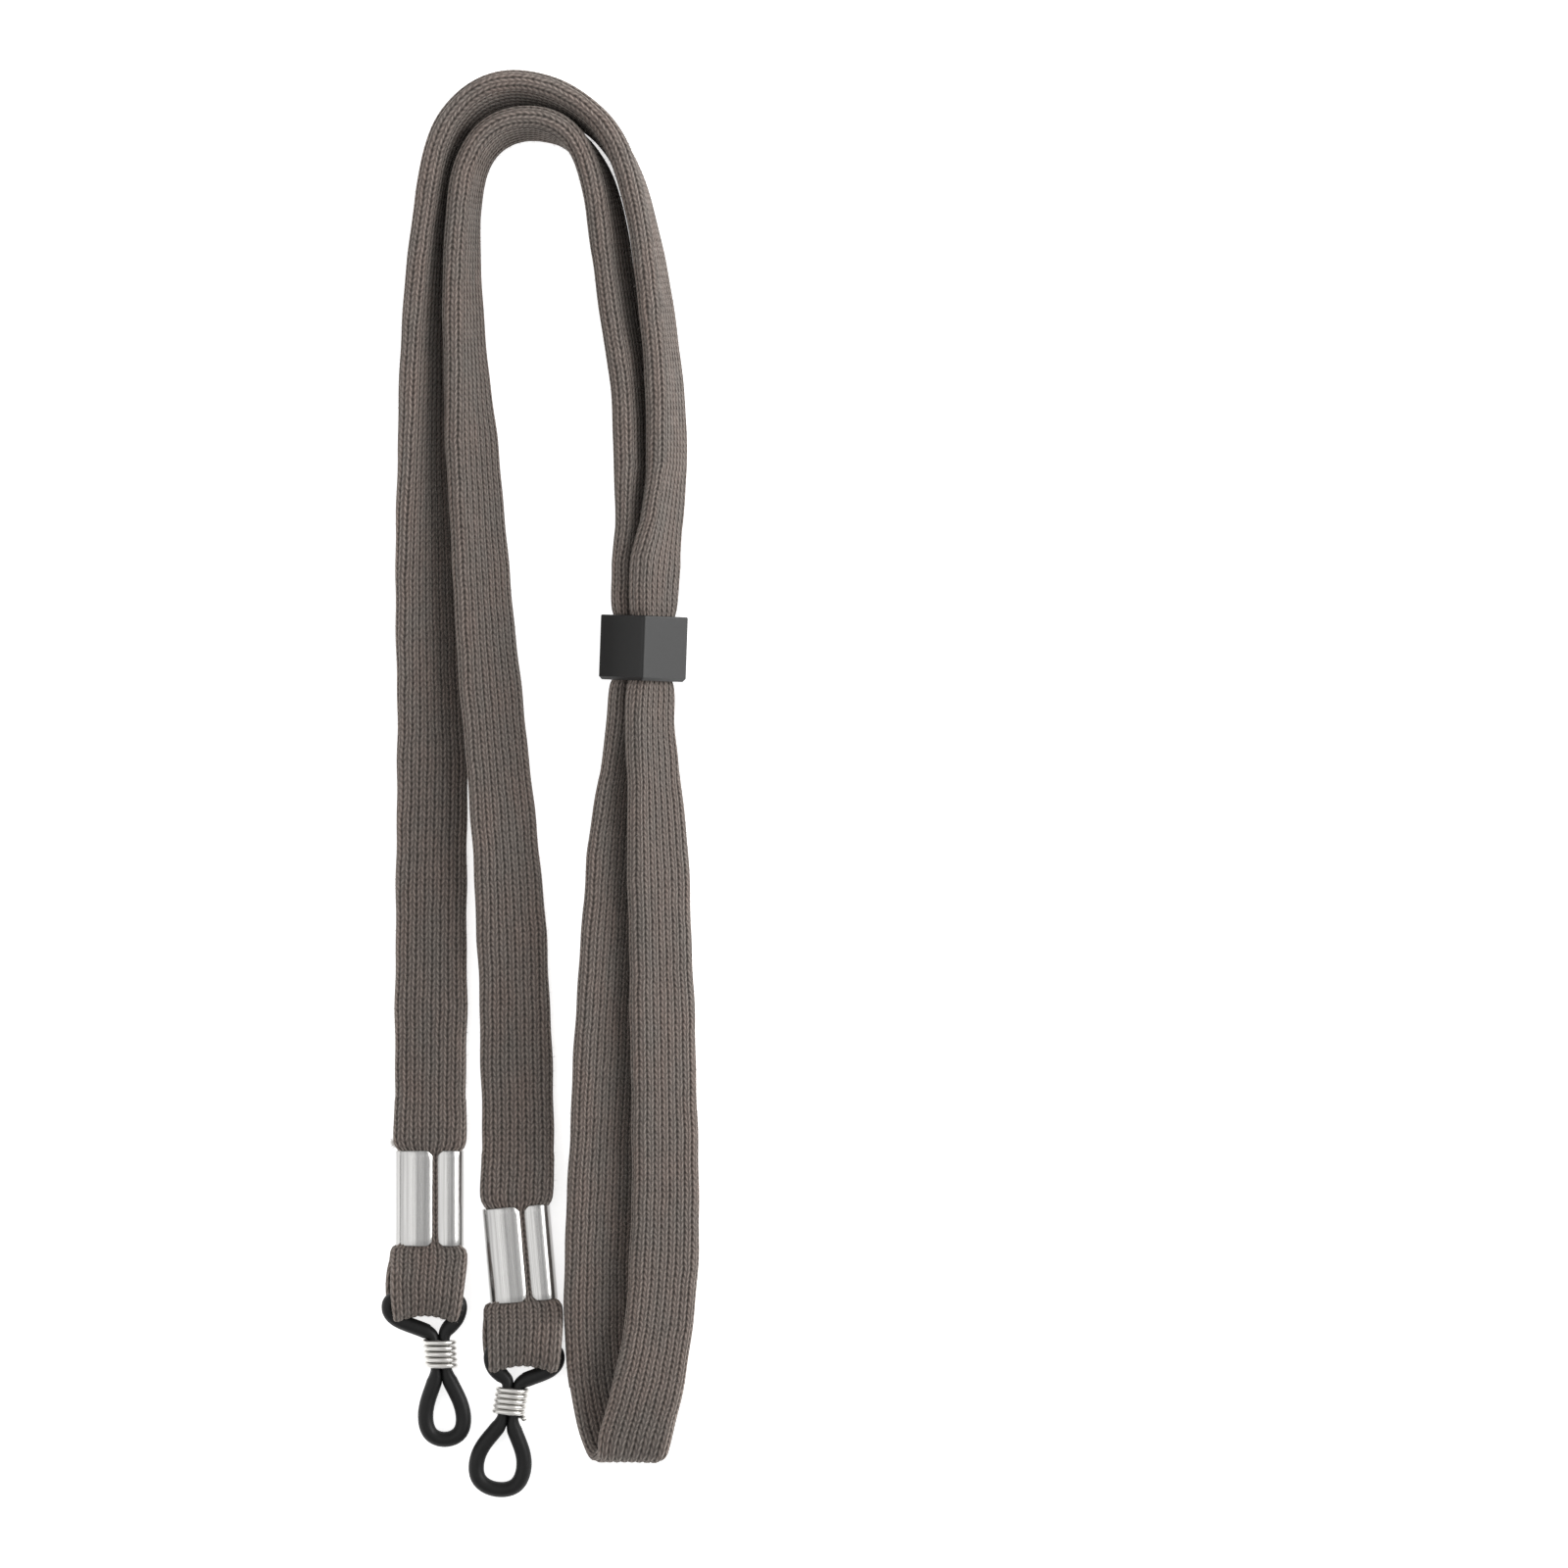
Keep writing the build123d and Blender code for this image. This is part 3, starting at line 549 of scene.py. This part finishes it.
    # painted shade and highlight: the colour ramp darkens the yarn down into the grooves and holes and lightens it
    # over the stitch tops
    painted_stitch_shade = node(tree, "ShaderNodeValToRGB", {"Fac": height})
    ramp = painted_stitch_shade.color_ramp
    ramp.elements[0].position, ramp.elements[0].color = 0.0, (0.26, 0.25, 0.24, 1)
    ramp.elements[1].position, ramp.elements[1].color = 1.0, (1.75, 1.72, 1.70, 1)
    middle_stop = ramp.elements.new(0.42)
    middle_stop.color = (0.72, 0.71, 0.70, 1)
    tint = node(tree, "ShaderNodeMix", {"Factor": 1.0, "A": warm.outputs["Result"], "B": painted_stitch_shade.outputs["Color"]},
                data_type="RGBA", blend_type="MULTIPLY")
    # painted highlight: the columns along both edges are painted paler, for the light rim along the strap's edges
    edge = node(tree, "ShaderNodeMath", {0: wale, 1: 2 * math.pi / WALES}, operation="MULTIPLY")
    edge = node(tree, "ShaderNodeMath", {0: edge}, operation="COSINE")
    edge = node(tree, "ShaderNodeMath", {0: edge}, operation="ABSOLUTE")
    edge = node(tree, "ShaderNodeMath", {0: edge, 1: 14.0}, operation="POWER")
    painted_edge_light = node(tree, "ShaderNodeMapRange", {"Value": edge, "To Min": 1.0, "To Max": 1.5})
    tint = node(tree, "ShaderNodeVectorMath", {0: tint.outputs["Result"], "Scale": painted_edge_light}, operation="SCALE")
    tree.links.new(tint.outputs[0], bsdf.inputs["Base Color"])
    bump = node(tree, "ShaderNodeBump", {"Height": height, "Strength": 0.8, "Distance": 0.35 * MM})
    tree.links.new(bump.outputs[0], bsdf.inputs["Normal"])
    return made


def nickel_material():
    """Nickel plated brass sheet with a brush finish along its length from before it was rolled, in fine lines 0.4 mm
    apart, as fine as the render shows. The lines set its roughness and bump, and paint its colour pale and dark from
    end to end as painted reflection bands: bright ones that soften into grey."""
    made, tree, bsdf = material("nickel_plated_brass", Metallic=1.0, Roughness=0.25)
    uv = node(tree, "ShaderNodeUVMap", uv_map="Along")
    lines = node(tree, "ShaderNodeMapping", {"Vector": uv, "Scale": (SHEET_ROUND / 0.4, 0.7, 1.0)})
    brush_lines_and_painted_reflection = node(tree, "ShaderNodeTexNoise", {"Vector": lines, "Scale": 1.0, "Detail": 4.0, "Roughness": 0.7})
    # painted reflection: the colour runs pale and dark with the brush lines, standing in for bright bands that
    # soften into grey
    shade = node(tree, "ShaderNodeMapRange", {"Value": brush_lines_and_painted_reflection, "From Min": 0.3, "From Max": 0.7})
    colour = node(tree, "ShaderNodeMix", {"Factor": shade, "A": srgb("#989796"), "B": srgb("#CAC9C7")},
                  data_type="RGBA")
    tree.links.new(colour.outputs["Result"], bsdf.inputs["Base Color"])
    rough = node(tree, "ShaderNodeMapRange", {"Value": brush_lines_and_painted_reflection, "To Min": 0.16, "To Max": 0.34})
    tree.links.new(rough.outputs[0], bsdf.inputs["Roughness"])
    bump = node(tree, "ShaderNodeBump", {"Height": brush_lines_and_painted_reflection, "Strength": 0.12, "Distance": 0.03 * MM})
    tree.links.new(bump.outputs[0], bsdf.inputs["Normal"])
    return made


def silicone_material():
    """Extruded black silicone: satin, slightly dusty, with a soft broad highlight."""
    made, tree, bsdf = material("black_silicone", Roughness=0.5, IOR=1.41, Specular_IOR_Level=0.35)
    where = node(tree, "ShaderNodeTexCoord").outputs["Object"]
    dust = node(tree, "ShaderNodeTexNoise", {"Vector": where, "Scale": 1500.0, "Detail": 4.0})
    colour = node(tree, "ShaderNodeMix", {"Factor": dust, "A": srgb("#0F0F0F"), "B": srgb("#191919")},
                  data_type="RGBA")
    tree.links.new(colour.outputs["Result"], bsdf.inputs["Base Color"])
    rough = node(tree, "ShaderNodeMapRange", {"Value": dust, "To Min": 0.38, "To Max": 0.6})
    tree.links.new(rough.outputs[0], bsdf.inputs["Roughness"])
    bump = node(tree, "ShaderNodeBump", {"Height": dust, "Strength": 0.1, "Distance": 0.05 * MM})
    tree.links.new(bump.outputs[0], bsdf.inputs["Normal"])
    return made


def wire_material():
    """Drawn steel wire, zinc plated: grey and bright, with faint drawing lines along it."""
    made, tree, bsdf = material("plated_steel_wire", Metallic=1.0, Roughness=0.32)
    uv = node(tree, "ShaderNodeUVMap", uv_map="Along")
    lines = node(tree, "ShaderNodeMapping", {"Vector": uv, "Scale": (30.0, 0.5, 1.0)})
    drawn = node(tree, "ShaderNodeTexNoise", {"Vector": lines, "Scale": 1.0, "Detail": 3.0})
    colour = node(tree, "ShaderNodeMix", {"Factor": drawn, "A": srgb("#CFCDC9"), "B": srgb("#EEECE8")},
                  data_type="RGBA")
    tree.links.new(colour.outputs["Result"], bsdf.inputs["Base Color"])
    bump = node(tree, "ShaderNodeBump", {"Height": drawn, "Strength": 0.15, "Distance": 0.02 * MM})
    tree.links.new(bump.outputs[0], bsdf.inputs["Normal"])
    return made


def plastic_material():
    """Moulded ABS: near black, with a fine spark-eroded texture that dulls its shine."""
    made, tree, bsdf = material("moulded_black_abs", Roughness=0.4, IOR=1.53, Specular_IOR_Level=0.4,
                                Base_Color=srgb("#0C0C0C"))
    where = node(tree, "ShaderNodeTexCoord").outputs["Object"]
    grit = node(tree, "ShaderNodeTexNoise", {"Vector": where, "Scale": 3000.0, "Detail": 3.0})
    rough = node(tree, "ShaderNodeMapRange", {"Value": grit, "To Min": 0.34, "To Max": 0.5})
    tree.links.new(rough.outputs[0], bsdf.inputs["Roughness"])
    bump = node(tree, "ShaderNodeBump", {"Height": grit, "Strength": 0.15, "Distance": 0.03 * MM})
    tree.links.new(bump.outputs[0], bsdf.inputs["Normal"])
    return made


def fibre_material(name, dark, pale):
    """Spun acrylic fibre ends: dull, each some way between dark and pale at random, so they stand out singly over
    the knit.
    """
    made, tree, bsdf = material(name, Roughness=0.8)
    where = node(tree, "ShaderNodeTexCoord").outputs["Object"]
    each = node(tree, "ShaderNodeTexNoise", {"Vector": where, "Scale": 2000.0, "Detail": 1.0})
    colour = node(tree, "ShaderNodeMix", {"Factor": each, "A": srgb(dark), "B": srgb(pale)}, data_type="RGBA")
    tree.links.new(colour.outputs["Result"], bsdf.inputs["Base Color"])
    return made


knit = knit_material()
nickel = nickel_material()
silicone = silicone_material()
wire_steel = wire_material()
plastic = plastic_material()
strap.data.materials.append(knit)
# painted highlight: the loose fibres are coloured paler than the knit's yarn, for the light fuzzy rim of the strap
fuzz.data.materials.append(fibre_material("loose_acrylic_fibre_painted_light", "#77716C", "#9A938D"))
tuft.data.materials.append(fibre_material("undyed_yarn_core", "#B4AEA7", "#D9D5D0"))
for piece in ferrules:
    piece.data.materials.append(nickel)
for piece in (silicone_left, silicone_right):
    piece.data.materials.append(silicone)
for piece in (coil_left, coil_right):
    piece.data.materials.append(wire_steel)
for material_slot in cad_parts["slider_bead"].material_slots:
    material_slot.material = plastic

# ------------------------------------------------------------ floor and light
floor = surface("floor", np.array([[[-3.0, -3.0, 0.0], [3.0, -3.0, 0.0]], [[-3.0, 3.0, 0.0], [3.0, 3.0, 0.0]]]),
                (np.array([0.0, 1.0]), np.array([0.0, 1.0])), round_about=False)
# lit paper: its own faint glow keeps it white where the strap shades it
paper = material("white_paper", Roughness=0.9, Base_Color=srgb("#FAFAFA"), Emission_Color=srgb("#FFFFFF"),
                 Emission_Strength=0.7)[0]
floor.data.materials.append(paper)


def softbox(name, spot, size, power):
    """A square light of that size at spot, facing the middle of the strap."""
    light = bpy.data.lights.new(name, "AREA")
    light.shape = "RECTANGLE"
    light.size, light.size_y = size
    light.energy = power
    lamp = bpy.data.objects.new(name, light)
    lamp.location = spot
    lamp.rotation_euler = (Vector((0, 0, 0)) - Vector(spot)).to_track_quat("-Z", "Y").to_euler()
    bpy.context.scene.collection.objects.link(lamp)


# a low key from the right, a broad wall on the left that shows as the pale band on the ferrules, and a thin
# strip above for the line of light along the silicone
softbox("key", (1.25, 0.35, 0.55), (0.8, 1.2), 21)
softbox("left_wall", (-0.85, 0.0, 0.95), (0.9, 1.8), 4.5)
softbox("strip", (0.16, 0.0, 1.4), (0.06, 1.6), 0.5)
world = bpy.data.worlds.new("studio")
world.use_nodes = True
background = world.node_tree.nodes["Background"]
background.inputs["Color"].default_value = (1.0, 1.0, 1.0, 1.0)
background.inputs["Strength"].default_value = 0.55
bpy.context.scene.world = world
bpy.context.scene.view_settings.view_transform = "Standard"
